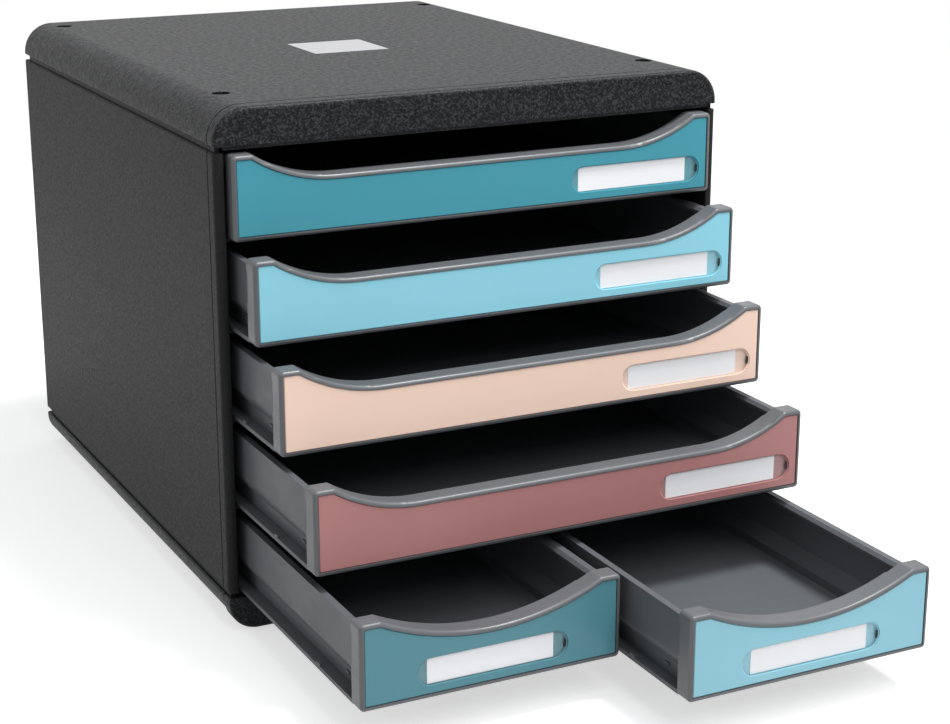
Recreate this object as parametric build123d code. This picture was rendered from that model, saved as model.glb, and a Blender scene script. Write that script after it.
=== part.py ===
from build123d import *
from math import sqrt
import os

# Desktop cabinet with four full-width drawers above a pair of half-width drawers.
# Millimetres. The origin is the centre of the footprint on the table: +X to the right,
# the drawers pull out towards -Y, +Z is up. The drawers stand open by the amounts in OPEN_BY.

# --- Cabinet shell ---
CABINET_WIDTH = 288.0
CABINET_DEPTH = 349.0
SHELL_WALL = 2.6
FASCIA_WALL = 3.0
COVER_HEIGHT = 18.8
COVER_RADIUS = 17.5
COVER_EDGE_RADIUS = 2.2
BASE_HEIGHT = 19.1
BASE_BODY_BOTTOM = 2.8
BASE_BODY_RADIUS = 14.6
BASE_BAND_BOTTOM = 0.5
BASE_BAND_RADIUS = 15.5
REAR_EDGE_RADIUS = 1.5
BAND_DEPTH = 9.3
GROOVE_WIDTH = 1.0
GROOVE_DEPTH = 0.9
FASCIA_LIP_RECESS = 1.6
FASCIA_LIP_DROP = 2.0
RIB_THICKNESS = 1.6
RIB_HEIGHT = 5.0
RIB_X = 70.0
RIB_PITCH_Y = 90.0

# --- Side panels ---
SKIN = 2.4
POST_WIDTH = 5.2
POST_CORNER_RADIUS = 3.4
POST_INNER_RADIUS = 0.8
REAR_RETURN_DEPTH = 2.3
SEAM_GAP = 3.2
SEAM_CHAMFER = 0.8
SEAM_FLOOR_DEPTH = 1.6
TONGUE_THICKNESS = 2.4
TONGUE_ENGAGEMENT = 3.4
SLIP_CLEARANCE = 0.2

# --- Back panel ---
BACK_THICKNESS = 2.2
BACK_TONGUE_INSET = 5.5
BACK_TONGUE_HEIGHT = 7.0
BACK_RIB_WIDTH = 4.0
BACK_RIB_PROUD = 1.2
BACK_RIB_COUNT = 4

# --- Feet and stacking sockets ---
FOOT_RADIUS = 4.25
FOOT_CHAMFER = 0.6
FOOT_STEM_RADIUS = 2.4
FOOT_STEM_HEIGHT = 5.5
FOOT_FROM_SIDE = 20.5
FOOT_FROM_FRONT = 43.5
FOOT_FROM_BACK = 21.5
SOCKET_RADIUS = 4.7
SOCKET_DEPTH = 3.6
BOSS_WALL = 1.8

# --- Square plate in a shallow recess on the cover ---
PLATE_WIDTH = 46.0
PLATE_LENGTH = 45.0
PLATE_X = -6.0
PLATE_FROM_FRONT = 170.6
PLATE_RECESS = 0.5
PLATE_CORNER_RADIUS = 1.0
PLATE_CLEARANCE = 0.2
PLATE_THICKNESS = 0.4

# --- Drawer fronts ---
LEVELS = 5
LEVEL_PITCH = 46.9
FRONT_HEIGHT = 42.9
FRONT_DEPTH = 10.3
FRONT_PROUD = 6.0
FRONT_SIDE_GAP = 1.8
FRONT_TO_BASE_GAP = 1.8
FRONT_TO_COVER_GAP = 3.8
HALF_FRONT_GAP = 2.0
EAR_WIDTH = 11.0
DIP_DEPTH = 13.4
DIP_FLAT = 164.0
FRONT_CORNER_RADIUS = 2.4
KNEE_RADIUS = 2.6
FRONT_EDGE_RADIUS = 1.9
PANEL_INSET = 2.3
PANEL_THICKNESS = 2.3
PANEL_RECESS = 0.3
PANEL_CORNER_RADIUS = 0.8
PANEL_BEVEL = 0.45
PANEL_CLEARANCE = 0.15
FRAME_WEB = 1.6
FRAME_RIM = 2.1
FRAME_RIB_PITCH = 34.0
FRAME_RIB_THICKNESS = 1.2
SIDE_SLOT_WIDTH = 0.9
SIDE_SLOT_DEPTH = 1.0
SIDE_SLOT_LOW = 21.0
SIDE_SLOT_HIGH = 36.5

# --- Label windows ---
LABEL_LENGTH = 79.0
LABEL_HEIGHT = 14.4
LABEL_CENTRE_HEIGHT = 13.4
LABEL_FROM_FRONT_END = 46.2
LABEL_RECESS = 1.5
LABEL_CLEARANCE = 0.15
CARD_LENGTH = 66.0
CARD_HEIGHT = 12.9
CARD_THICKNESS = 0.3
WINDOW_THICKNESS = 0.9
NOTCH_DEPTH = 1.6
NOTCH_HEIGHT = 4.6

# --- Drawer trays ---
TRAY_WALL = 1.8
TRAY_FLOOR = 2.0
TRAY_UNDERSIDE = 0.5
TRAY_HEIGHT = 38.6
FLOOR_UNDERSIDE = 2.8
RIM_WIDTH = 5.0
RIM_DEPTH = 3.0
RIM_BEVEL = 1.6
TRAY_BACK_CLEARANCE = 3.0
UPPER_WALL_INSET = 2.8
LOWER_WALL_INSET = 7.0
RIDGE_HEIGHT = 16.0
RIDGE_BOTTOM = 9.5
RIDGE_RADIUS = 7.0
FLANGE_INSET = 0.5
FLANGE_THICKNESS = 2.1
TRAY_FLOOR_FILLET = 1.5
FRONT_WALL_DROP = 0.8
PEG_LENGTH = 4.0
PEG_WIDTH = 9.0
PEG_HEIGHT = 6.0
PEG_CENTRE_HEIGHT = 16.0

# --- Runners, stops and latches ---
LEDGE_THICKNESS = 1.8
LEDGE_REACH = 6.0
LEDGE_CLEARANCE = 0.3
KEEPER_THICKNESS = 1.8
KEEPER_CLEARANCE = 0.35
KEEPER_SIDE_CLEARANCE = 0.45
RUNNER_FRONT_CLEARANCE = 0.8
TRAVEL = 262.0
STOP_LENGTH = 4.0
STOP_CLEARANCE = 0.5
LUG_LENGTH = 8.0
LUG_PROUD = 1.9
LUG_GAP_AT_LIMIT = 0.3
BUMP_FROM_FRONT = 51.7
BUMP_LENGTH = 4.0
BUMP_WIDTH = 1.4
BUMP_HEIGHT = 1.3
TAB_FROM_FRONT = 29.5
TAB_LENGTH = 4.0
TAB_HEIGHT = 1.2
TAB_PROUD = 0.8
TAB_CENTRE_HEIGHT = 7.0

# --- Centre divider between the half drawers ---
DIVIDER_WEB = 1.6
DIVIDER_FOOT_WIDTH = 16.0
DIVIDER_FOOT_THICKNESS = 2.0

# --- Cutting allowance, so that cuts run past the faces they open ---
CUT_MARGIN = 1.0

# --- How far each drawer stands open ---
OPEN_BY = {
    "drawer_1": 0.0,
    "drawer_2": 25.6,
    "drawer_3": 55.5,
    "drawer_4": 95.0,
    "drawer_5_left": 146.0,
    "drawer_5_right": 204.5,
}
CARD_SHIFT = {
    "drawer_1": -1.9,
    "drawer_2": -2.2,
    "drawer_3": -2.1,
    "drawer_4": -2.3,
    "drawer_5_left": -1.0,
    "drawer_5_right": -0.8,
}

# --- Derived places ---
HALF_WIDTH = CABINET_WIDTH / 2
CABINET_FRONT = -CABINET_DEPTH / 2
CABINET_BACK = CABINET_DEPTH / 2
FIRST_FRONT_Z = BASE_HEIGHT + FRONT_TO_BASE_GAP
TOP_FRONT_Z = FIRST_FRONT_Z + (LEVELS - 1) * LEVEL_PITCH
COVER_BOTTOM = TOP_FRONT_Z + FRONT_HEIGHT + FRONT_TO_COVER_GAP
CABINET_HEIGHT = COVER_BOTTOM + COVER_HEIGHT
SIDE_BOTTOM = BASE_HEIGHT + SEAM_GAP
SIDE_TOP = COVER_BOTTOM - SEAM_GAP
SKIN_INNER = HALF_WIDTH - SKIN
GROOVE_START = CABINET_FRONT + BAND_DEPTH
FOOT_X = HALF_WIDTH - FOOT_FROM_SIDE
FULL_HALF_FRONT = HALF_WIDTH - POST_WIDTH - FRONT_SIDE_GAP
NARROW_HALF_FRONT = (FULL_HALF_FRONT - HALF_FRONT_GAP / 2) / 2
NARROW_CENTRE = FULL_HALF_FRONT - NARROW_HALF_FRONT
CLOSED_FRONT_Y = CABINET_FRONT - FRONT_PROUD
BACK_PANEL_OUTER = CABINET_BACK - REAR_RETURN_DEPTH - SHELL_WALL / 2 + SLIP_CLEARANCE
BACK_PANEL_INNER = BACK_PANEL_OUTER - BACK_THICKNESS
TRAY_LENGTH = BACK_PANEL_INNER - TRAY_BACK_CLEARANCE - (CLOSED_FRONT_Y + FRONT_DEPTH)
RUNNER_FRONT = CLOSED_FRONT_Y + FRONT_DEPTH + RUNNER_FRONT_CLEARANCE
RUNNER_BACK = BACK_PANEL_INNER - SLIP_CLEARANCE
LEDGE_TOP = TRAY_UNDERSIDE - LEDGE_CLEARANCE
FLANGE_TOP = TRAY_UNDERSIDE + FLANGE_THICKNESS
KEEPER_BOTTOM = FLANGE_TOP + KEEPER_CLEARANCE
KEEPER_FRONT = CLOSED_FRONT_Y + BUMP_FROM_FRONT + BUMP_LENGTH / 2 + LEDGE_CLEARANCE
STOP_BACK = GROOVE_START + STOP_LENGTH
LUG_FROM_FRONT = STOP_BACK + TRAVEL + LUG_GAP_AT_LIMIT - CLOSED_FRONT_Y
SEAM_FLOOR = HALF_WIDTH - SEAM_FLOOR_DEPTH


def block(x, y, z):
    """A block between two x, two y and two z values."""
    centre = Pos((x[0] + x[1]) / 2, (y[0] + y[1]) / 2, (z[0] + z[1]) / 2)
    return centre * Box(x[1] - x[0], y[1] - y[0], z[1] - z[0])


def slab(outline, y_start, length):
    """An outline drawn in X and Z, thickened from y_start towards the back."""
    return Pos(0, y_start, 0) * extrude(Plane.XZ * outline, amount=length, dir=(0, 1, 0))


def mirrored(solid):
    """The same solid on the other side of the middle plane."""
    return mirror(solid, about=Plane.YZ)


def both_sides(solid):
    """A solid together with its mirror image."""
    return solid + mirrored(solid)


def arch_outline(inset):
    """Section of the cover: flat top, two rounded upper corners."""
    low = COVER_BOTTOM - inset
    high = CABINET_HEIGHT - inset
    plate = Pos(0, (low + high) / 2) * Rectangle(CABINET_WIDTH - 2 * inset, high - low)
    upper = plate.vertices().sort_by(Axis.Y)[-2:]
    return fillet(upper, COVER_RADIUS - inset)


def cradle_outline(bottom, radius, inset, top=BASE_HEIGHT):
    """Section of the base: open top, two rounded lower corners."""
    low = bottom + inset
    plate = Pos(0, (low + top) / 2) * Rectangle(CABINET_WIDTH - 2 * inset, top - low)
    lower = plate.vertices().sort_by(Axis.Y)[:2]
    return fillet(lower, radius - inset)


def foot_places():
    """Centres of the feet and of the sockets above them."""
    rows = (CABINET_FRONT + FOOT_FROM_FRONT, CABINET_BACK - FOOT_FROM_BACK)
    return {
        "front_left": (-FOOT_X, rows[0]),
        "front_right": (FOOT_X, rows[0]),
        "rear_left": (-FOOT_X, rows[1]),
        "rear_right": (FOOT_X, rows[1]),
    }


def stiffening_ribs(low, high, from_x, to_x):
    """A grid of thin ribs on one side of the middle plane."""
    y_limits = (CABINET_FRONT + FASCIA_WALL, CABINET_BACK - SHELL_WALL)
    ribs = block((RIB_X - RIB_THICKNESS / 2, RIB_X + RIB_THICKNESS / 2), y_limits, (low, high))
    for row in (-1, 0, 1):
        y = row * RIB_PITCH_Y
        y_span = (y - RIB_THICKNESS / 2, y + RIB_THICKNESS / 2)
        ribs += block((from_x, to_x), y_span, (low, high))
    return both_sides(ribs)


def cover_socket(x, y):
    """Boss under the cover's top that holds a stacking socket."""
    depth = SOCKET_DEPTH + BOSS_WALL
    return Pos(x, y, CABINET_HEIGHT - SHELL_WALL / 2 - depth / 2) * Cylinder(SOCKET_RADIUS + BOSS_WALL, depth)


def seam_rabbet(low, high):
    """Space inside the lip of the cover or the base for a side panel's tongue."""
    x = (SKIN_INNER - TONGUE_THICKNESS, SEAM_FLOOR + SLIP_CLEARANCE)
    y = (CABINET_FRONT + FASCIA_WALL, CABINET_BACK - SHELL_WALL)
    return both_sides(block(x, y, (low, high)))


def seam_bevel(z, direction):
    """Bevels along both long sides at a seam, on the solid above or below z."""
    tip = z + direction * SEAM_CHAMFER
    corner = Polyline((HALF_WIDTH, z), (HALF_WIDTH - SEAM_CHAMFER, z), (HALF_WIDTH, tip), close=True)
    return both_sides(slab(make_face(corner), CABINET_FRONT, CABINET_DEPTH))


def plate_recess():
    """Shallow square recess on top of the cover."""
    outline = RectangleRounded(PLATE_WIDTH, PLATE_LENGTH, PLATE_CORNER_RADIUS)
    place = Pos(PLATE_X, CABINET_FRONT + PLATE_FROM_FRONT, CABINET_HEIGHT - PLATE_RECESS)
    return place * extrude(outline, amount=PLATE_RECESS)


def make_top_cover():
    """Moulded cover with a front fascia, a groove round it and four stacking sockets."""
    cover = slab(arch_outline(0), CABINET_FRONT, CABINET_DEPTH)
    front_edges = cover.faces().sort_by(Axis.Y)[0].edges().sort_by(Axis.Z)[1:]
    cover = fillet(front_edges, COVER_EDGE_RADIUS)
    rear_edges = cover.faces().sort_by(Axis.Y)[-1].edges().sort_by(Axis.Z)[1:]
    cover = fillet(rear_edges, REAR_EDGE_RADIUS)
    hollow_length = CABINET_DEPTH - FASCIA_WALL - SHELL_WALL
    cover -= slab(arch_outline(SHELL_WALL), CABINET_FRONT + FASCIA_WALL, hollow_length)
    groove = slab(arch_outline(0), GROOVE_START, GROOVE_WIDTH)
    cover -= groove - slab(arch_outline(GROOVE_DEPTH), GROOVE_START, GROOVE_WIDTH)
    cover -= seam_rabbet(COVER_BOTTOM - CUT_MARGIN, COVER_BOTTOM + TONGUE_ENGAGEMENT + SLIP_CLEARANCE)
    cover -= seam_bevel(COVER_BOTTOM, 1)
    lip_half = HALF_WIDTH - POST_WIDTH
    lip_y = (CABINET_FRONT + FASCIA_LIP_RECESS, CABINET_FRONT + FASCIA_WALL)
    cover += block((-lip_half, lip_half), lip_y, (COVER_BOTTOM - FASCIA_LIP_DROP, COVER_BOTTOM + SHELL_WALL))
    rib_top = CABINET_HEIGHT - SHELL_WALL
    cover += stiffening_ribs(rib_top - RIB_HEIGHT, rib_top, 0, HALF_WIDTH - COVER_RADIUS)
    for x, y in foot_places().values():
        cover += cover_socket(x, y)
        cover -= Pos(x, y, CABINET_HEIGHT - SOCKET_DEPTH / 2) * Cylinder(SOCKET_RADIUS, SOCKET_DEPTH)
    return cover - plate_recess()


def make_cover_plate():
    """Thin plate that lies in the recess on top of the cover."""
    outline = RectangleRounded(PLATE_WIDTH - 2 * PLATE_CLEARANCE, PLATE_LENGTH - 2 * PLATE_CLEARANCE, PLATE_CORNER_RADIUS)
    place = Pos(PLATE_X, CABINET_FRONT + PLATE_FROM_FRONT, CABINET_HEIGHT - PLATE_RECESS)
    return place * extrude(outline, amount=PLATE_THICKNESS)


def make_base_tray():
    """Moulded base with a deeper front band, a groove behind it and bosses for the feet."""
    band = slab(cradle_outline(BASE_BAND_BOTTOM, BASE_BAND_RADIUS, 0), CABINET_FRONT, BAND_DEPTH)
    front_edges = band.faces().sort_by(Axis.Y)[0].edges().sort_by(Axis.Z)[:-1]
    band = fillet(front_edges, COVER_EDGE_RADIUS)
    body_start = GROOVE_START + GROOVE_WIDTH
    body = slab(cradle_outline(BASE_BODY_BOTTOM, BASE_BODY_RADIUS, 0), body_start, CABINET_BACK - body_start)
    rear_edges = body.faces().sort_by(Axis.Y)[-1].edges().sort_by(Axis.Z)[:-1]
    body = fillet(rear_edges, REAR_EDGE_RADIUS)
    neck = slab(cradle_outline(BASE_BODY_BOTTOM, BASE_BODY_RADIUS, GROOVE_DEPTH), GROOVE_START, GROOVE_WIDTH)
    base = band + neck + body
    hollow = cradle_outline(BASE_BODY_BOTTOM, BASE_BODY_RADIUS, SHELL_WALL, BASE_HEIGHT + CUT_MARGIN)
    base -= slab(hollow, CABINET_FRONT + FASCIA_WALL, CABINET_DEPTH - FASCIA_WALL - SHELL_WALL)
    base -= seam_rabbet(BASE_HEIGHT - TONGUE_ENGAGEMENT - SLIP_CLEARANCE, BASE_HEIGHT + CUT_MARGIN)
    base -= seam_bevel(BASE_HEIGHT, -1)
    floor = BASE_BODY_BOTTOM + SHELL_WALL
    rib_start = DIVIDER_FOOT_WIDTH / 2 + SLIP_CLEARANCE
    base += stiffening_ribs(floor, floor + RIB_HEIGHT, rib_start, HALF_WIDTH - BASE_BODY_RADIUS)
    boss_height = FOOT_STEM_HEIGHT + BOSS_WALL - SHELL_WALL / 2
    stem_hole = FOOT_STEM_HEIGHT + SLIP_CLEARANCE
    for x, y in foot_places().values():
        boss = Cylinder(FOOT_STEM_RADIUS + BOSS_WALL, boss_height)
        base += Pos(x, y, floor - SHELL_WALL / 2 + boss_height / 2) * boss
        hole = Cylinder(FOOT_STEM_RADIUS + SLIP_CLEARANCE, stem_hole)
        base -= Pos(x, y, BASE_BODY_BOTTOM + stem_hole / 2) * hole
    return base


def make_foot(x, y):
    """Round rubber foot with a stem that plugs into the base."""
    pad = Pos(x, y, BASE_BODY_BOTTOM / 2) * Cylinder(FOOT_RADIUS, BASE_BODY_BOTTOM)
    pad = chamfer(pad.edges().sort_by(Axis.Z)[0], FOOT_CHAMFER)
    stem = Pos(x, y, BASE_BODY_BOTTOM + FOOT_STEM_HEIGHT / 2) * Cylinder(FOOT_STEM_RADIUS, FOOT_STEM_HEIGHT)
    return pad + stem


def upright_edges(solid, x, y):
    """The vertical edges of a solid that stand at one place."""
    found = []
    for edge in solid.edges().filter_by(Axis.Z):
        centre = edge.center()
        if abs(centre.X - x) < SLIP_CLEARANCE and abs(centre.Y - y) < SLIP_CLEARANCE:
            found.append(edge)
    return found


def runner_ledge(level_z):
    """Ledge that carries the tray's flange on the right-hand side."""
    x = (FULL_HALF_FRONT - LEDGE_REACH, SKIN_INNER)
    z = (level_z + LEDGE_TOP - LEDGE_THICKNESS, level_z + LEDGE_TOP)
    return block(x, (RUNNER_FRONT, RUNNER_BACK), z)


def runner_keeper(level_z):
    """Rib above the flange that keeps an open drawer from tipping."""
    x = (FULL_HALF_FRONT - LOWER_WALL_INSET + KEEPER_SIDE_CLEARANCE, SKIN_INNER)
    z = (level_z + KEEPER_BOTTOM, level_z + KEEPER_BOTTOM + KEEPER_THICKNESS)
    return block(x, (KEEPER_FRONT, RUNNER_BACK), z)


def runner_stop(level_z):
    """Block behind the post that catches the tray's lug at full travel."""
    x = (FULL_HALF_FRONT - FLANGE_INSET + STOP_CLEARANCE, SKIN_INNER)
    z = (level_z + LEDGE_TOP, level_z + KEEPER_BOTTOM + KEEPER_THICKNESS)
    return block(x, (GROOVE_START, STOP_BACK), z)


def make_right_side_panel():
    """Side wall with a rounded front post, a rear return, tongues and five runners."""
    height = (SIDE_BOTTOM, SIDE_TOP)
    panel = block((SKIN_INNER, HALF_WIDTH), (CABINET_FRONT, CABINET_BACK), height)
    post_x = (HALF_WIDTH - POST_WIDTH, HALF_WIDTH)
    panel += block(post_x, (CABINET_FRONT, GROOVE_START), height)
    panel += block(post_x, (CABINET_BACK - REAR_RETURN_DEPTH, CABINET_BACK), height)
    panel = fillet(upright_edges(panel, HALF_WIDTH, CABINET_FRONT), POST_CORNER_RADIUS)
    panel = fillet(upright_edges(panel, post_x[0], CABINET_FRONT), POST_INNER_RADIUS)
    panel = fillet(upright_edges(panel, HALF_WIDTH, CABINET_BACK), REAR_EDGE_RADIUS)
    groove_x = (HALF_WIDTH - GROOVE_DEPTH, HALF_WIDTH)
    panel -= block(groove_x, (GROOVE_START, GROOVE_START + GROOVE_WIDTH), height)
    panel -= seam_bevel(SIDE_BOTTOM, 1)
    panel -= seam_bevel(SIDE_TOP, -1)
    tongue_x = (SEAM_FLOOR - TONGUE_THICKNESS, SEAM_FLOOR)
    tongue_y = (CABINET_FRONT + FASCIA_WALL + SLIP_CLEARANCE, RUNNER_BACK)
    overlap = SEAM_GAP
    panel += block(tongue_x, tongue_y, (BASE_HEIGHT - TONGUE_ENGAGEMENT, SIDE_BOTTOM + overlap))
    panel += block(tongue_x, tongue_y, (SIDE_TOP - overlap, COVER_BOTTOM + TONGUE_ENGAGEMENT))
    for level in range(LEVELS):
        level_z = FIRST_FRONT_Z + level * LEVEL_PITCH
        panel += runner_ledge(level_z)
        panel += runner_keeper(level_z)
        panel += runner_stop(level_z)
    return panel


def make_back_panel():
    """Flat back held between the side returns, with tongues and level ribs."""
    half = SKIN_INNER - SLIP_CLEARANCE
    y = (BACK_PANEL_INNER, BACK_PANEL_OUTER)
    plate_z = (BASE_HEIGHT + SLIP_CLEARANCE, COVER_BOTTOM - SLIP_CLEARANCE)
    panel = block((-half, half), y, plate_z)
    tongue_half = half - BACK_TONGUE_INSET
    tongue_z = (plate_z[0] - BACK_TONGUE_HEIGHT, plate_z[1] + BACK_TONGUE_HEIGHT)
    panel += block((-tongue_half, tongue_half), y, tongue_z)
    rib_half = HALF_WIDTH - POST_WIDTH - FRONT_SIDE_GAP
    for level in range(1, BACK_RIB_COUNT + 1):
        z = FIRST_FRONT_Z + level * LEVEL_PITCH
        rib_y = (BACK_PANEL_OUTER, BACK_PANEL_OUTER + BACK_RIB_PROUD)
        panel += block((-rib_half, rib_half), rib_y, (z - BACK_RIB_WIDTH / 2, z + BACK_RIB_WIDTH / 2))
    return panel


def make_center_divider():
    """Upright web on the base with a ledge and a keeper for each half drawer."""
    web_half = DIVIDER_WEB / 2
    floor = BASE_BODY_BOTTOM + SHELL_WALL
    top = FIRST_FRONT_Z + KEEPER_BOTTOM + KEEPER_THICKNESS
    front_edge = HALF_FRONT_GAP / 2
    web = block((0, web_half), (RUNNER_FRONT, RUNNER_BACK), (floor, top))
    foot_y = (RUNNER_FRONT + FRONT_DEPTH, RUNNER_BACK)
    foot = block((0, DIVIDER_FOOT_WIDTH / 2), foot_y, (floor, floor + DIVIDER_FOOT_THICKNESS))
    ledge_top = FIRST_FRONT_Z + LEDGE_TOP
    ledge_x = (0, front_edge + LEDGE_REACH)
    ledge = block(ledge_x, (RUNNER_FRONT, RUNNER_BACK), (ledge_top - LEDGE_THICKNESS, ledge_top))
    keeper_x = (0, front_edge + LOWER_WALL_INSET - KEEPER_SIDE_CLEARANCE)
    keeper = block(keeper_x, (KEEPER_FRONT, RUNNER_BACK), (FIRST_FRONT_Z + KEEPER_BOTTOM, top))
    return both_sides(web + foot + ledge + keeper)


def dip_radius(half_width, flat):
    """Radius of the sweep from the ear down to the lowest part of a front's upper edge."""
    run = half_width - EAR_WIDTH - flat / 2
    return (run**2 + DIP_DEPTH**2) / (2 * DIP_DEPTH)


def front_outline(half_width, flat, inset, corner, knee):
    """Outline of a drawer front: two ears joined by a dipped upper edge."""
    radius = dip_radius(half_width, flat)
    side = half_width - inset
    top = FRONT_HEIGHT - inset
    low = FRONT_HEIGHT - DIP_DEPTH - inset
    knee_x = flat / 2 + sqrt((radius + inset) ** 2 - (radius - DIP_DEPTH + inset) ** 2)
    right = TangentArc((flat / 2, low), (knee_x, top), tangent=(1, 0))
    right += Polyline((knee_x, top), (side, top), (side, inset), (0, inset))
    if flat > 0:
        right += Line((0, low), (flat / 2, low))
    outline = make_face(right + mirror(right, about=Plane.YZ))
    ears = [v for v in outline.vertices() if abs(abs(v.X) - side) < SLIP_CLEARANCE]
    outline = fillet(ears, corner)
    knees = [v for v in outline.vertices() if abs(abs(v.X) - knee_x) < SLIP_CLEARANCE]
    return fillet(knees, knee)


def frame_rib_count(half_width):
    """How many upright ribs stiffen the back of a front frame."""
    return int(2 * (half_width - EAR_WIDTH) / FRAME_RIB_PITCH)


def make_front_frame(half_width, flat):
    """Moulded surround of a drawer front with a seat for the coloured panel."""
    outer = front_outline(half_width, flat, 0, FRONT_CORNER_RADIUS, KNEE_RADIUS)
    frame = slab(outer, 0, FRONT_DEPTH)
    frame = fillet(frame.faces().sort_by(Axis.Y)[0].edges(), FRONT_EDGE_RADIUS)
    seat_depth = PANEL_RECESS + PANEL_THICKNESS
    seat_inset = PANEL_INSET - PANEL_CLEARANCE
    seat = front_outline(half_width, flat, seat_inset, PANEL_CORNER_RADIUS, PANEL_CORNER_RADIUS)
    frame -= slab(seat, 0, seat_depth)
    hollow_start = seat_depth + FRAME_WEB
    hollow = front_outline(half_width, flat, FRAME_RIM, PANEL_CORNER_RADIUS, PANEL_CORNER_RADIUS)
    cavity = slab(hollow, hollow_start, FRONT_DEPTH - hollow_start)
    rib_count = frame_rib_count(half_width)
    for index in range(rib_count):
        x = (index - (rib_count - 1) / 2) * FRAME_RIB_PITCH
        x_span = (x - FRAME_RIB_THICKNESS / 2, x + FRAME_RIB_THICKNESS / 2)
        cavity -= block(x_span, (0, FRONT_DEPTH), (0, FRONT_HEIGHT))
    frame -= cavity
    slot_x = (half_width - SIDE_SLOT_DEPTH, half_width)
    slot_y = (FRONT_DEPTH - SIDE_SLOT_WIDTH, FRONT_DEPTH)
    return frame - both_sides(block(slot_x, slot_y, (SIDE_SLOT_LOW, SIDE_SLOT_HIGH)))


def stadium(length, height, x):
    """A slot outline with round ends, centred on the label's height."""
    return Pos(x, LABEL_CENTRE_HEIGHT) * SlotOverall(length, height)


def make_color_panel(half_width, flat, label_x):
    """Coloured insert with bevelled edges and a round-ended recess for the label."""
    outline = front_outline(half_width, flat, PANEL_INSET, PANEL_CORNER_RADIUS, PANEL_CORNER_RADIUS)
    panel = slab(outline, PANEL_RECESS, PANEL_THICKNESS)
    panel = chamfer(panel.faces().sort_by(Axis.Y)[0].edges(), PANEL_BEVEL)
    return panel - slab(stadium(LABEL_LENGTH, LABEL_HEIGHT, label_x), PANEL_RECESS, LABEL_RECESS)


def make_label_card(label_x, shift):
    """Blank paper card that lies in the recess."""
    y_back = PANEL_RECESS + LABEL_RECESS
    x = (label_x + shift - CARD_LENGTH / 2, label_x + shift + CARD_LENGTH / 2)
    z = (LABEL_CENTRE_HEIGHT - CARD_HEIGHT / 2, LABEL_CENTRE_HEIGHT + CARD_HEIGHT / 2)
    return block(x, (y_back - CARD_THICKNESS, y_back), z)


def make_label_window(label_x):
    """Clear round-ended cover over the card, with a finger notch at one end."""
    length = LABEL_LENGTH - 2 * LABEL_CLEARANCE
    outline = stadium(length, LABEL_HEIGHT - 2 * LABEL_CLEARANCE, label_x)
    y_front = PANEL_RECESS + LABEL_RECESS - CARD_THICKNESS - WINDOW_THICKNESS
    window = slab(outline, y_front, WINDOW_THICKNESS)
    notch_x = (label_x + length / 2 - NOTCH_DEPTH, label_x + length / 2)
    notch_z = (LABEL_CENTRE_HEIGHT - NOTCH_HEIGHT / 2, LABEL_CENTRE_HEIGHT + NOTCH_HEIGHT / 2)
    return window - block(notch_x, (y_front, y_front + WINDOW_THICKNESS), notch_z)


def tray_section(half_width):
    """Outer section of a tray: bottom flanges, recessed lower walls, bulged upper walls."""
    flange = half_width - FLANGE_INSET
    lower = half_width - LOWER_WALL_INSET
    upper = half_width - UPPER_WALL_INSET
    points = [
        (0, FLOOR_UNDERSIDE),
        (lower - TRAY_WALL, FLOOR_UNDERSIDE),
        (lower - TRAY_WALL, TRAY_UNDERSIDE),
        (flange, TRAY_UNDERSIDE),
        (flange, FLANGE_TOP),
        (lower, FLANGE_TOP),
        (lower, RIDGE_BOTTOM),
        (upper, RIDGE_HEIGHT),
        (upper, TRAY_HEIGHT),
        (0, TRAY_HEIGHT),
    ]
    half = make_face(Polyline(*points, close=True))
    ridge = [v for v in half.vertices() if abs(v.Y - RIDGE_HEIGHT) < SLIP_CLEARANCE]
    half = fillet(ridge, RIDGE_RADIUS)
    return half + mirror(half, about=Plane.YZ)


def tray_cavity(half_width):
    """Inner section of a tray: one wall thickness inside the outer one, below a wide rim."""
    lower = half_width - LOWER_WALL_INSET - TRAY_WALL
    upper = half_width - UPPER_WALL_INSET - TRAY_WALL
    floor = FLOOR_UNDERSIDE + TRAY_FLOOR
    rim = half_width - UPPER_WALL_INSET - RIM_WIDTH
    points = [
        (0, floor),
        (lower, floor),
        (lower, RIDGE_BOTTOM + TRAY_WALL / 2),
        (upper, RIDGE_HEIGHT + TRAY_WALL),
        (upper, TRAY_HEIGHT - RIM_DEPTH),
        (rim, TRAY_HEIGHT - RIM_DEPTH),
        (rim, TRAY_HEIGHT - RIM_BEVEL),
        (rim + RIM_BEVEL, TRAY_HEIGHT),
        (0, TRAY_HEIGHT),
    ]
    half = make_face(Polyline(*points, close=True))
    whole = half + mirror(half, about=Plane.YZ)
    corners = [v for v in whole.vertices() if abs(v.Y - floor) < SLIP_CLEARANCE and abs(v.X) > EAR_WIDTH]
    return fillet(corners, TRAY_FLOOR_FILLET)


def tray_front_wall(half_width, flat, shell):
    """Wall behind the front frame, cut to the same dipped line, with two pegs for it."""
    outline = front_outline(half_width, flat, FRONT_WALL_DROP, PANEL_CORNER_RADIUS, PANEL_CORNER_RADIUS)
    wall = slab(outline, FRONT_DEPTH, TRAY_WALL) & shell
    peg_z = (PEG_CENTRE_HEIGHT - PEG_HEIGHT / 2, PEG_CENTRE_HEIGHT + PEG_HEIGHT / 2)
    peg_y = (FRONT_DEPTH - PEG_LENGTH, FRONT_DEPTH)
    peg_x = (frame_rib_count(half_width) / 2 - 1) * FRAME_RIB_PITCH
    return wall + both_sides(block((peg_x - PEG_WIDTH / 2, peg_x + PEG_WIDTH / 2), peg_y, peg_z))


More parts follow.
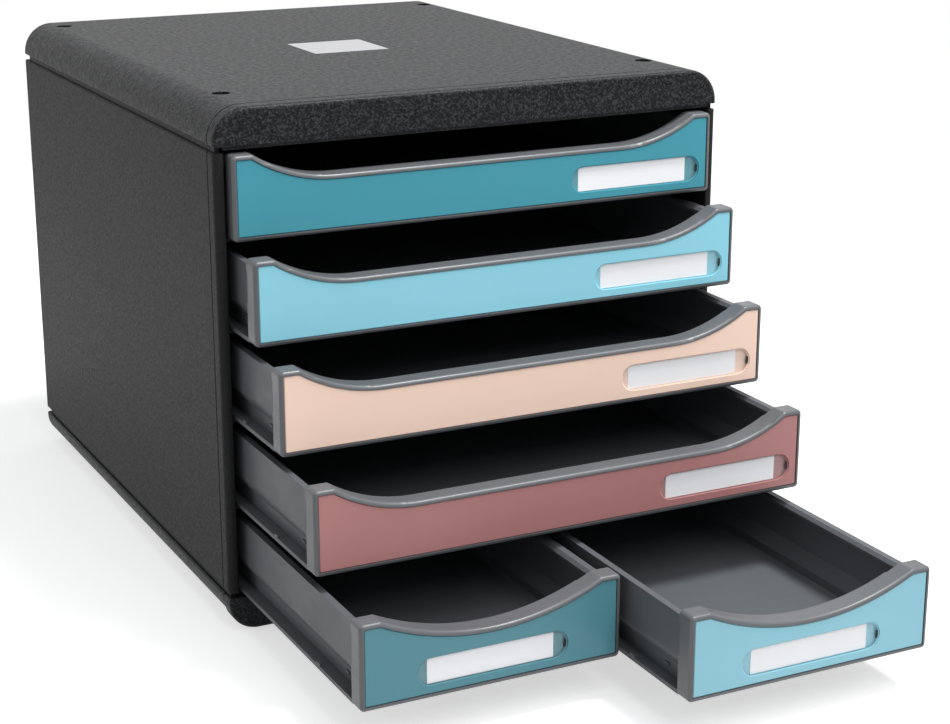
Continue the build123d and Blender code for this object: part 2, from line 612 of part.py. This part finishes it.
def tray_side_details(half_width):
    """Closing stops on the flanges and small catches on the lower walls."""
    flange = half_width - FLANGE_INSET
    lower = half_width - LOWER_WALL_INSET
    bump_y = (BUMP_FROM_FRONT - BUMP_LENGTH / 2, BUMP_FROM_FRONT + BUMP_LENGTH / 2)
    details = block((flange - BUMP_WIDTH, flange), bump_y, (FLANGE_TOP, FLANGE_TOP + BUMP_HEIGHT))
    tab_y = (TAB_FROM_FRONT - TAB_LENGTH / 2, TAB_FROM_FRONT + TAB_LENGTH / 2)
    tab_z = (TAB_CENTRE_HEIGHT - TAB_HEIGHT / 2, TAB_CENTRE_HEIGHT + TAB_HEIGHT / 2)
    details += block((lower, lower + TAB_PROUD), tab_y, tab_z)
    return both_sides(details)


def tray_lug(half_width):
    """Lug on the right flange that meets the cabinet's stop at full travel."""
    flange = half_width - FLANGE_INSET
    lug_y = (LUG_FROM_FRONT, LUG_FROM_FRONT + LUG_LENGTH)
    return block((flange, flange + LUG_PROUD), lug_y, (TRAY_UNDERSIDE, FLANGE_TOP))


def make_tray(half_width, flat, lug_sides):
    """Open drawer tray with flanged sides, behind the front frame."""
    shell = slab(tray_section(half_width), FRONT_DEPTH, TRAY_LENGTH)
    tray = shell - slab(tray_cavity(half_width), FRONT_DEPTH, TRAY_LENGTH - TRAY_WALL)
    tray += tray_front_wall(half_width, flat, shell)
    tray += tray_side_details(half_width)
    if "right" in lug_sides:
        tray += tray_lug(half_width)
    if "left" in lug_sides:
        tray += mirrored(tray_lug(half_width))
    return tray


def write_part(name, solid):
    """Save one piece under its own name."""
    export_step(solid, f"parts/{name}.step")


def write_cabinet():
    """Save the pieces of the cabinet."""
    right_panel = make_right_side_panel()
    write_part("top_cover", make_top_cover())
    write_part("cover_plate", make_cover_plate())
    write_part("base_tray", make_base_tray())
    write_part("right_side_panel", right_panel)
    write_part("left_side_panel", mirrored(right_panel))
    write_part("back_panel", make_back_panel())
    write_part("center_divider", make_center_divider())
    for place, (x, y) in foot_places().items():
        write_part(f"{place}_foot", make_foot(x, y))


def write_drawer(name, level, centre_x, half_width, flat, label_x, lug_sides):
    """Save the pieces of one drawer where it stands."""
    level_z = FIRST_FRONT_Z + level * LEVEL_PITCH
    place = Pos(centre_x, CLOSED_FRONT_Y - OPEN_BY[name], level_z)
    write_part(f"{name}_tray", place * make_tray(half_width, flat, lug_sides))
    write_part(f"{name}_front_frame", place * make_front_frame(half_width, flat))
    write_part(f"{name}_color_panel", place * make_color_panel(half_width, flat, label_x))
    write_part(f"{name}_label_card", place * make_label_card(label_x, CARD_SHIFT[name]))
    write_part(f"{name}_label_window", place * make_label_window(label_x))


def write_drawers():
    """Save four full drawers and the two half drawers under them."""
    full_label_x = FULL_HALF_FRONT - LABEL_FROM_FRONT_END
    for number in range(1, LEVELS):
        level = LEVELS - number
        write_drawer(f"drawer_{number}", level, 0, FULL_HALF_FRONT, DIP_FLAT, full_label_x, ("left", "right"))
    write_drawer("drawer_5_left", 0, -NARROW_CENTRE, NARROW_HALF_FRONT, 0, 0, ("left",))
    write_drawer("drawer_5_right", 0, NARROW_CENTRE, NARROW_HALF_FRONT, 0, 0, ("right",))


os.makedirs("parts", exist_ok=True)
write_cabinet()
write_drawers()
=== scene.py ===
"""Studio picture of a desktop drawer cabinet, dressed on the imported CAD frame.

Metres, +X right, drawers pull out towards -Y, +Z up.
"""

import math

import bpy
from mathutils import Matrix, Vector


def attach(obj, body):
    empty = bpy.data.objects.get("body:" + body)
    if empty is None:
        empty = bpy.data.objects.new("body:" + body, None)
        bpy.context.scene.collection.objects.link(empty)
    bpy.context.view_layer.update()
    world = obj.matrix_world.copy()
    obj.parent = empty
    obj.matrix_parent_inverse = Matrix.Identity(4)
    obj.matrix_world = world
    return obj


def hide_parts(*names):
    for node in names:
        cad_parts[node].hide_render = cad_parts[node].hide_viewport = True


# --- Camera, solved from the photograph ---
CAMERA_PLACE = (-0.4671, -1.0975, 0.4414)
CAMERA_AZIMUTH = -26.71
CAMERA_ELEVATION = 16.86
CAMERA_LENS = 77.19
SENSOR_WIDTH = 36.0
CLIP_START = 0.05

# --- Light ---
AMBIENT_STRENGTH = 0.4
AMBIENT_COLOR = (0.97, 0.985, 1.0, 1.0)
WHITE = (1.0, 1.0, 1.0, 1.0)
LIGHT_TARGET = (0.0, -0.15, 0.14)
OVERHEAD = {"place": (0.55, -0.5, 1.8), "size": 0.45, "watts": 42.0}
FRONT_KEY = {"place": (0.15, -1.4, 1.5), "size": 1.2, "watts": 16.0}
LEFT_BOX = {"place": (-1.6, 0.15, 0.75), "size": 1.0, "watts": 4.0}

# --- Floor ---
FLOOR_BOUNCE_COLOR = (0.5, 0.5, 0.5, 1.0)
FLOOR_SEEN_COLOR = (0.65, 0.65, 0.65, 1.0)
FLOOR_LIFT = 0.6
FLOOR_HALF_SIZE = 1.1
FLOOR_DROP = 0.0003

# --- Colours, linear ---
SHELL_BLACK = (0.0096, 0.0099, 0.0108)
SIDE_BLACK = (0.0145, 0.0145, 0.015)
RUBBER_BLACK = (0.012, 0.012, 0.012)
DRAWER_GREY = (0.096, 0.101, 0.108)
# tray grey: the frames' grey plastic made darker, as painted shade for the deep tray insides
TRAY_PAINTED_SHADE_GREY = (0.084, 0.090, 0.098)
# near-black of the finger-notch sheets: painted shade for the notch hollows
NOTCH_PAINTED_SHADE = (0.010, 0.012, 0.014)
PLATE_SILVER = (0.42, 0.42, 0.43)
CARD_WHITE = (0.90, 0.90, 0.92)
WINDOW_TINT = (0.86, 0.90, 0.92)
# each drawer's own panel colour, made lighter on the upper drawers and darker on the lower ones:
# painted light falling off from top to bottom
PANEL_PAINTED_FALLOFF_COLORS = {
    "drawer_1": (0.040, 0.262, 0.335),
    "drawer_2": (0.240, 0.575, 0.695),
    "drawer_3": (0.850, 0.620, 0.510),
    "drawer_4": (0.395, 0.178, 0.172),
    "drawer_5_left": (0.074, 0.226, 0.275),
    "drawer_5_right": (0.250, 0.520, 0.620),
}

# --- Moulded plastics: how strongly they reflect, and how rough they are ---
SHELL_GLOSS = {"gloss": 0.11, "roughness": 0.44}
SIDE_GLOSS = {"gloss": 0.07, "roughness": 0.5}
TRAY_GLOSS = {"gloss": 0.2, "roughness": 0.42}
FRAME_GLOSS = {"gloss": 0.34, "roughness": 0.34}
PANEL_GLOSS = {"gloss": 0.35, "roughness": 0.38}
NOTCH_GLOSS = {"gloss": 0.2, "roughness": 0.5}
PIN_GLOSS = {"gloss": 0.3, "roughness": 0.4}
PIN_LIGHTENING = 5.0

# --- Eroded grain: scales per metre, heights in metres, colours as factors ---
SHELL_GRAIN = {"scale": 960.0, "height": 0.00018, "contrast": 4.4}
SIDE_GRAIN = {"scale": 1900.0, "height": 0.00002, "contrast": 1.4}
COARSE_SCALE_SHARE = 0.35
COARSE_HEIGHT_SHARE = 0.7
CREST_RANGE = (0.50, 0.66)
PIT_RANGE = (0.34, 0.48)
CLOUD_SCALE = 9.0
CLOUD_SHADES = (0.86, 1.16)
GRAIN_ROUGHNESS_SPREAD = (-0.07, 0.09)

# --- Satin plastic: flow marks, fine texture, smears ---
FLOW_SCALE = 7.0
FLOW_STRETCH = (1.0, 1.0, 3.0)
FLOW_SHADES = (0.93, 1.07)
FLOW_HEIGHT = 0.00008
FINE_SCALE = 2400.0
FINE_HEIGHT = 0.000012
SMEAR_SCALE = 38.0
SMEAR_STRETCH = (0.5, 1.0, 1.6)
SMEAR_RANGE = (0.35, 0.7)
SATIN_ROUGHNESS_SPREAD = (-0.05, 0.08)

# --- Rubber, plate, card and clear cover ---
MIDDLE_RANGE = (0.3, 0.7)
DUST_SCALE = 90.0
DUST_SHADES = (1.0, 2.6)
RUBBER_ROUGHNESS = (0.72, 0.9)
PORE_SCALE = 1600.0
PORE_HEIGHT = 0.00005
BRUSH_SCALE = 420.0
BRUSH_STRETCH = (0.06, 1.0, 1.0)
BRUSH_SHADES = (0.88, 1.12)
BRUSH_ROUGHNESS = (0.36, 0.5)
BRUSH_HEIGHT = 0.000012
PLATE_METALLIC = 0.6
FIBRE_SCALE = 900.0
FIBRE_STRETCH = (0.25, 1.0, 1.0)
FIBRE_HEIGHT = 0.00003
PAPER_CLOUD_SCALE = 60.0
PAPER_SHADES = (0.975, 1.0)
PAPER_ROUGHNESS = (0.7, 0.85)
SPECK_RANGE = (0.60, 0.75)
SPECK_AMOUNT = (0.0, 0.35)
SPECK_SHADE = 0.90
SCUFF_SCALE = 160.0
SCUFF_STRETCH = (0.2, 1.0, 1.0)
SCUFF_RANGE = (0.5, 0.75)
CLEAR_ROUGHNESS = (0.06, 0.2)
WAVE_SCALE = 45.0
WAVE_SHADES = (0.96, 1.0)
WAVE_HEIGHT = 0.00004

# --- Label windows, metres ---
WINDOW_LIFT = 0.00006
WINDOW_SHEEN = 0.05
WINDOW_EDGE = 0.0003
RECESS_MARGIN = 0.00013
RIM_WIDTH = 0.00038
RIM_RISE = 0.00028
RIM_SEAT = 0.00002
NOTCH_DEPTH = 0.0015
NOTCH_HALF_HEIGHT = 0.0021
NOTCH_THICKNESS = 0.00012
ARC_STEPS = 16

# --- Pins in the stacking sockets, metres ---
PIN_PLACES = ((-0.1235, -0.131), (0.1235, -0.131), (-0.1235, 0.153), (0.1235, 0.153))
PIN_BASE = 0.27042
PIN_HEIGHT = 0.0022
PIN_RADIUS = 0.0017
PIN_BEVEL = 0.0005
PIN_STEPS = 24


class Shader:
    """A material's node tree with its Principled shader and short ways to add detail."""

    def __init__(self, name):
        self.material = bpy.data.materials.new(name)
        self.material.use_nodes = True
        tree = self.material.node_tree
        self.nodes = tree.nodes
        self.links = tree.links
        self.surface = self.nodes["Principled BSDF"]
        self.place = self.nodes.new("ShaderNodeTexCoord").outputs["Object"]

    def noise(self, scale, detail=2.0, stretch=(1.0, 1.0, 1.0)):
        """Noise in metres of the object, stretched along the axes."""
        mapping = self.nodes.new("ShaderNodeMapping")
        mapping.inputs["Scale"].default_value = stretch
        self.links.new(self.place, mapping.inputs["Vector"])
        noise = self.nodes.new("ShaderNodeTexNoise")
        noise.inputs["Scale"].default_value = scale
        noise.inputs["Detail"].default_value = detail
        self.links.new(mapping.outputs["Vector"], noise.inputs["Vector"])
        return noise.outputs["Fac"]

    def remap(self, value, source, target):
        """A value moved from one range of numbers to another, clamped."""
        node = self.nodes.new("ShaderNodeMapRange")
        node.inputs["From Min"].default_value = source[0]
        node.inputs["From Max"].default_value = source[1]
        node.inputs["To Min"].default_value = target[0]
        node.inputs["To Max"].default_value = target[1]
        self.links.new(value, node.inputs["Value"])
        return node.outputs["Result"]

    def mix(self, factor, first, second):
        """Two colours mixed by a factor; each is a socket or three numbers."""
        node = self.nodes.new("ShaderNodeMix")
        node.data_type = "RGBA"
        self.links.new(factor, node.inputs["Factor"])
        for socket, color in ((node.inputs["A"], first), (node.inputs["B"], second)):
            if isinstance(color, tuple):
                socket.default_value = (*color, 1.0)
            else:
                self.links.new(color, socket)
        return node.outputs["Result"]

    def shades(self, factor, color, factors):
        """A colour that varies between two factors of itself."""
        return self.mix(factor, scaled(color, factors[0]), scaled(color, factors[1]))

    def bump(self, heights):
        """Stacked bumps; each is (value, height in metres)."""
        normal = None
        for value, height in heights:
            node = self.nodes.new("ShaderNodeBump")
            node.inputs["Distance"].default_value = height
            node.inputs["Strength"].default_value = 1.0
            self.links.new(value, node.inputs["Height"])
            if normal is not None:
                self.links.new(normal, node.inputs["Normal"])
            normal = node.outputs["Normal"]
        self.links.new(normal, self.surface.inputs["Normal"])

    def color(self, socket):
        """Drives the base colour."""
        self.links.new(socket, self.surface.inputs["Base Color"])

    def roughness(self, socket):
        """Drives the roughness."""
        self.links.new(socket, self.surface.inputs["Roughness"])

    def set(self, name, value):
        """Sets one constant of the surface."""
        self.surface.inputs[name].default_value = value


def scaled(color, factor):
    """A colour made lighter or darker."""
    return tuple(channel * factor for channel in color)


def spread(value, offsets):
    """Two numbers, one on each side of a value."""
    return (value + offsets[0], value + offsets[1])


def spark_eroded_plastic(name, color, scale, height, contrast, gloss, roughness):
    """Moulded plastic with an eroded grain: dark pits and light crests at two sizes."""
    shader = Shader(name)
    grain = shader.noise(scale, detail=3.0)
    coarse = shader.noise(scale * COARSE_SCALE_SHARE, detail=2.0)
    cloud = shader.noise(CLOUD_SCALE, detail=3.0)
    crest = shader.remap(grain, CREST_RANGE, (0.0, 1.0))
    pit = shader.remap(grain, PIT_RANGE, (1.0, 0.0))
    body = shader.shades(cloud, color, CLOUD_SHADES)
    pitted = shader.mix(pit, body, scaled(color, 1.0 / contrast))
    shader.color(shader.mix(crest, pitted, scaled(color, contrast)))
    wear = spread(roughness, GRAIN_ROUGHNESS_SPREAD)
    shader.roughness(shader.remap(coarse, MIDDLE_RANGE, wear))
    shader.bump([(coarse, height * COARSE_HEIGHT_SHARE), (grain, height)])
    shader.set("Specular IOR Level", gloss)
    return shader.material


def satin_plastic(name, color, gloss, roughness):
    """Smooth moulded plastic: faint flow marks, fine texture and light wear in its gloss."""
    shader = Shader(name)
    flow = shader.noise(FLOW_SCALE, detail=4.0, stretch=FLOW_STRETCH)
    fine = shader.noise(FINE_SCALE, detail=2.0)
    smear = shader.noise(SMEAR_SCALE, detail=5.0, stretch=SMEAR_STRETCH)
    shader.color(shader.shades(flow, color, FLOW_SHADES))
    wear = spread(roughness, SATIN_ROUGHNESS_SPREAD)
    shader.roughness(shader.remap(smear, SMEAR_RANGE, wear))
    shader.bump([(flow, FLOW_HEIGHT), (fine, FINE_HEIGHT)])
    shader.set("Specular IOR Level", gloss)
    return shader.material


def rubber():
    """Matte black rubber with a dusty bloom."""
    shader = Shader("foot_rubber")
    dust = shader.noise(DUST_SCALE, detail=5.0)
    pores = shader.noise(PORE_SCALE, detail=2.0)
    shader.color(shader.shades(dust, RUBBER_BLACK, DUST_SHADES))
    shader.roughness(shader.remap(dust, MIDDLE_RANGE, RUBBER_ROUGHNESS))
    shader.bump([(pores, PORE_HEIGHT)])
    return shader.material


def silver_plate():
    """Satin silver-coloured plate with fine brushing."""
    shader = Shader("cover_plate")
    brushing = shader.noise(BRUSH_SCALE, detail=4.0, stretch=BRUSH_STRETCH)
    shader.color(shader.shades(brushing, PLATE_SILVER, BRUSH_SHADES))
    shader.roughness(shader.remap(brushing, MIDDLE_RANGE, BRUSH_ROUGHNESS))
    shader.bump([(brushing, BRUSH_HEIGHT)])
    shader.set("Metallic", PLATE_METALLIC)
    return shader.material


def paper_card():
    """Uncoated white card: faint fibres and tooth."""
    shader = Shader("label_card")
    fibre = shader.noise(FIBRE_SCALE, detail=4.0, stretch=FIBRE_STRETCH)
    cloud = shader.noise(PAPER_CLOUD_SCALE, detail=3.0)
    toned = shader.shades(cloud, CARD_WHITE, PAPER_SHADES)
    speck = shader.remap(fibre, SPECK_RANGE, SPECK_AMOUNT)
    shader.color(shader.mix(speck, toned, scaled(CARD_WHITE, SPECK_SHADE)))
    shader.roughness(shader.remap(fibre, MIDDLE_RANGE, PAPER_ROUGHNESS))
    shader.bump([(fibre, FIBRE_HEIGHT)])
    return shader.material


def clear_plastic():
    """Clear thin cover with faint scuffs."""
    shader = Shader("label_window")
    scuff = shader.noise(SCUFF_SCALE, detail=6.0, stretch=SCUFF_STRETCH)
    wave = shader.noise(WAVE_SCALE, detail=2.0)
    shader.color(shader.shades(wave, WINDOW_TINT, WAVE_SHADES))
    shader.roughness(shader.remap(scuff, SCUFF_RANGE, CLEAR_ROUGHNESS))
    shader.bump([(wave, WAVE_HEIGHT)])
    shader.set("Alpha", WINDOW_SHEEN)
    return shader.material


def dress(node, material):
    """Gives one CAD node its finish."""
    mesh = node.data
    if not mesh.materials:
        mesh.materials.append(material)
    for index in range(len(mesh.materials)):
        mesh.materials[index] = material


def make_piece(name, points, faces, material):
    """A new mesh object from points and faces."""
    mesh = bpy.data.meshes.new(name)
    mesh.from_pydata(points, [], faces)
    mesh.materials.append(material)
    piece = bpy.data.objects.new(name, mesh)
    bpy.context.scene.collection.objects.link(piece)
    return piece


def node_box(node):
    """Lowest and highest corner of a CAD node."""
    corners = [node.matrix_world @ Vector(corner) for corner in node.bound_box]
    low = Vector(min(corner[axis] for corner in corners) for axis in range(3))
    high = Vector(max(corner[axis] for corner in corners) for axis in range(3))
    return low, high


def stadium_ring(low, high, inset, y):
    """Points round a slot with round ends, drawn inside a box and moved in by an inset."""
    radius = (high.z - low.z) / 2
    middle_z = (high.z + low.z) / 2
    ring = []
    for centre_x, start in ((high.x - radius, -90.0), (low.x + radius, 90.0)):
        for step in range(ARC_STEPS + 1):
            angle = math.radians(start + 180.0 * step / ARC_STEPS)
            x = centre_x + (radius - inset) * math.cos(angle)
            ring.append((x, y, middle_z + (radius - inset) * math.sin(angle)))
    return ring


def bands(ring_count, size, closed):
    """Faces between neighbouring rings of points."""
    faces = []
    for index in range(ring_count if closed else ring_count - 1):
        first = index * size
        second = (index + 1) % ring_count * size
        for step in range(size):
            after = (step + 1) % size
            faces.append((first + step, first + after, second + after, second + step))
    return faces


def capped_solid(name, rings, material):
    """A closed solid through rings of points, with a cap at both ends."""
    points = [point for ring in rings for point in ring]
    size = len(rings[0])
    faces = bands(len(rings), size, False)
    faces.append(tuple(reversed(range(size))))
    faces.append(tuple(range(len(points) - size, len(points))))
    return make_piece(name, points, faces, material)


def make_window(drawer, node, material):
    """Clear round-ended cover with a rounded front edge, just clear of the card."""
    low, high = node_box(node)
    back = high.y - WINDOW_LIFT
    half_round = WINDOW_EDGE * (1 - math.sqrt(0.5))
    profile = [
        (0.0, back),
        (0.0, low.y + WINDOW_EDGE),
        (half_round, low.y + half_round),
        (WINDOW_EDGE, low.y),
    ]
    rings = [stadium_ring(low, high, inset, y) for inset, y in profile]
    window = capped_solid(drawer + "_clear_cover", rings, material)
    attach(window, drawer)
    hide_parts(drawer + "_label_window")


def make_label_rim(drawer, node, material):
    """Sloped lip round the mouth of the label recess."""
    low, high = node_box(node)
    seat = low.y - RIM_SEAT
    profile = [(-RECESS_MARGIN, low.y - RIM_RISE), (RIM_WIDTH, seat), (-RECESS_MARGIN, seat)]
    rings = [stadium_ring(low, high, inset, y) for inset, y in profile]
    points = [point for ring in rings for point in ring]
    faces = bands(len(rings), len(rings[0]), True)
    rim = make_piece(drawer + "_label_lip", points, faces, material)
    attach(rim, drawer)


def make_painted_notch_shade(drawer, node, material):
    """Near-black sheet in the shape of the finger notch at the window's end: painted shade for the
    notch's hollow.
    """
    low, high = node_box(node)
    radius = (high.z - low.z) / 2 - RIM_WIDTH
    middle = Vector((high.x - RIM_WIDTH - radius, 0.0, (high.z + low.z) / 2))
    reach = math.asin(NOTCH_HALF_HEIGHT / radius)
    outline = []
    for step in range(ARC_STEPS + 1):
        angle = reach * (2.0 * step / ARC_STEPS - 1.0)
        outline.append((middle.x + radius * math.cos(angle), middle.z + radius * math.sin(angle)))
    inner_x = middle.x + radius - NOTCH_DEPTH
    outline += [(inner_x, middle.z + NOTCH_HALF_HEIGHT), (inner_x, middle.z - NOTCH_HALF_HEIGHT)]
    back = low.y - RIM_SEAT
    rings = [[(x, y, z) for x, z in outline] for y in (back, back - NOTCH_THICKNESS)]
    notch = capped_solid(drawer + "_finger_notch_painted_shade", rings, material)
    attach(notch, drawer)


def make_socket_pins(material):
    """Small bevelled pin in the middle of each stacking socket."""
    profile = [
        (PIN_RADIUS, 0.0),
        (PIN_RADIUS, PIN_HEIGHT - PIN_BEVEL),
        (PIN_RADIUS - PIN_BEVEL, PIN_HEIGHT),
    ]
    turns = [math.tau * step / PIN_STEPS for step in range(PIN_STEPS)]
    for number, (x, y) in enumerate(PIN_PLACES, 1):
        rings = []
        for radius, height in profile:
            circle = [(x + radius * math.cos(turn), y + radius * math.sin(turn)) for turn in turns]
            rings.append([(*point, PIN_BASE + height) for point in circle])
        pin = capped_solid(f"socket_pin_{number}", rings, material)
        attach(pin, "cabinet")


def dress_cabinet(nodes):
    """Finishes of the cabinet's own pieces."""
    shell = spark_eroded_plastic("cabinet_shell", SHELL_BLACK, **SHELL_GRAIN, **SHELL_GLOSS)
    sides = spark_eroded_plastic("cabinet_sides", SIDE_BLACK, **SIDE_GRAIN, **SIDE_GLOSS)
    feet = rubber()
    plate = silver_plate()
    for name, node in nodes.items():
        if name in ("top_cover", "base_tray"):
            dress(node, shell)
        elif name == "cover_plate":
            dress(node, plate)
        elif name.endswith("_foot"):
            dress(node, feet)
        elif not name.startswith("drawer_"):
            dress(node, sides)
    pin_grey = scaled(SHELL_BLACK, PIN_LIGHTENING)
    make_socket_pins(satin_plastic("socket_pin", pin_grey, **PIN_GLOSS))


def dress_drawers(nodes):
    """Finishes and label windows of the six drawers."""
    finishes = {
        # tray finish darker than the frames: painted shade of the tray insides
        "_tray": satin_plastic("tray_grey", TRAY_PAINTED_SHADE_GREY, **TRAY_GLOSS),
        "_front_frame": satin_plastic("drawer_grey", DRAWER_GREY, **FRAME_GLOSS),
        "_label_card": paper_card(),
    }
    clear = clear_plastic()
    # near-black material of the finger-notch sheets: painted shade for the notch hollows
    notch = satin_plastic("painted_notch_shade", NOTCH_PAINTED_SHADE, **NOTCH_GLOSS)
    for drawer, color in PANEL_PAINTED_FALLOFF_COLORS.items():
        for ending, material in finishes.items():
            dress(nodes[drawer + ending], material)
        # panel finish: the drawer's own colour with the painted top-to-bottom light falloff in it
        panel = satin_plastic(drawer + "_panel_painted_falloff_color", color, **PANEL_GLOSS)
        dress(nodes[drawer + "_color_panel"], panel)
        window_node = nodes[drawer + "_label_window"]
        dress(window_node, clear)
        make_window(drawer, window_node, clear)
        make_label_rim(drawer, window_node, panel)
        make_painted_notch_shade(drawer, window_node, notch)


def background_share(tree):
    """One for rays that look straight at, or mirror or pass through to, the background."""
    path = tree.nodes.new("ShaderNodeLightPath")
    share = path.outputs["Is Camera Ray"]
    for other in ("Is Glossy Ray", "Is Transmission Ray"):
        greater = tree.nodes.new("ShaderNodeMath")
        greater.operation = "MAXIMUM"
        tree.links.new(share, greater.inputs[0])
        tree.links.new(path.outputs[other], greater.inputs[1])
        share = greater.outputs["Value"]
    return share


def make_world():
    """Even studio surroundings that look white behind the object."""
    world = bpy.data.worlds.new("studio")
    bpy.context.scene.world = world
    world.use_nodes = True
    tree = world.node_tree
    ambient = tree.nodes["Background"]
    ambient.inputs["Color"].default_value = AMBIENT_COLOR
    ambient.inputs["Strength"].default_value = AMBIENT_STRENGTH
    seen = tree.nodes.new("ShaderNodeBackground")
    seen.inputs["Color"].default_value = WHITE
    mix = tree.nodes.new("ShaderNodeMixShader")
    tree.links.new(background_share(tree), mix.inputs[0])
    tree.links.new(ambient.outputs[0], mix.inputs[1])
    tree.links.new(seen.outputs[0], mix.inputs[2])
    tree.links.new(mix.outputs[0], tree.nodes["World Output"].inputs["Surface"])


def floor_material():
    """Plain pale floor that reads white where it is fully lit and keeps the shadow."""
    material = bpy.data.materials.new("pale_floor")
    material.use_nodes = True
    tree = material.node_tree
    tree.nodes.remove(tree.nodes["Principled BSDF"])
    bounce = tree.nodes.new("ShaderNodeBsdfDiffuse")
    bounce.inputs["Color"].default_value = FLOOR_BOUNCE_COLOR
    seen = tree.nodes.new("ShaderNodeBsdfDiffuse")
    seen.inputs["Color"].default_value = FLOOR_SEEN_COLOR
    lift = tree.nodes.new("ShaderNodeEmission")
    lift.inputs["Strength"].default_value = FLOOR_LIFT
    lifted = tree.nodes.new("ShaderNodeAddShader")
    tree.links.new(seen.outputs[0], lifted.inputs[0])
    tree.links.new(lift.outputs[0], lifted.inputs[1])
    mix = tree.nodes.new("ShaderNodeMixShader")
    tree.links.new(background_share(tree), mix.inputs[0])
    tree.links.new(bounce.outputs[0], mix.inputs[1])
    tree.links.new(lifted.outputs[0], mix.inputs[2])
    tree.links.new(mix.outputs[0], tree.nodes["Material Output"].inputs["Surface"])
    return material


def make_floor():
    """Wide flat floor just under the feet."""
    half = FLOOR_HALF_SIZE
    corners = [(-half, -half, 0), (half, -half, 0), (half, half, 0), (-half, half, 0)]
    floor = make_piece("floor", corners, [(0, 1, 2, 3)], floor_material())
    floor.location.z = -FLOOR_DROP


def soft_box(name, place, size, watts):
    """Square area lamp aimed at the drawers."""
    lamp = bpy.data.lights.new(name, "AREA")
    lamp.size = size
    lamp.energy = watts
    box = bpy.data.objects.new(name, lamp)
    box.location = place
    aim = Vector(LIGHT_TARGET) - Vector(place)
    box.rotation_euler = aim.to_track_quat("-Z", "Y").to_euler()
    bpy.context.scene.collection.objects.link(box)


def make_lights():
    """Overhead lamp for the edges, broad key from above the front, weak left box."""
    soft_box("overhead", **OVERHEAD)
    soft_box("front_key", **FRONT_KEY)
    soft_box("left_box", **LEFT_BOX)


def make_camera():
    """Camera at the photograph's viewpoint."""
    data = bpy.data.cameras.new("camera")
    data.sensor_fit = "HORIZONTAL"
    data.sensor_width = SENSOR_WIDTH
    data.lens = CAMERA_LENS
    data.clip_start = CLIP_START
    camera = bpy.data.objects.new("camera", data)
    camera.location = CAMERA_PLACE
    tilt = math.radians(90.0 - CAMERA_ELEVATION)
    camera.rotation_euler = (tilt, 0.0, math.radians(CAMERA_AZIMUTH))
    bpy.context.scene.collection.objects.link(camera)
    bpy.context.scene.camera = camera


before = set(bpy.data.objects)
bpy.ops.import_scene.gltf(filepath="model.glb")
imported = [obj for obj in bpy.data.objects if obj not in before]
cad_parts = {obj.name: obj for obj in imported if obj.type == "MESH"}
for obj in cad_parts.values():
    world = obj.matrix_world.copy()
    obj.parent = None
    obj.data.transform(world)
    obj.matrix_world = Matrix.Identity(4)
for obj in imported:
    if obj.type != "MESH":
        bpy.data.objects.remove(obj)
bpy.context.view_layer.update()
dress_cabinet(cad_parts)
dress_drawers(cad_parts)
make_world()
make_floor()
make_lights()
make_camera()
bpy.context.scene.view_settings.view_transform = "Standard"
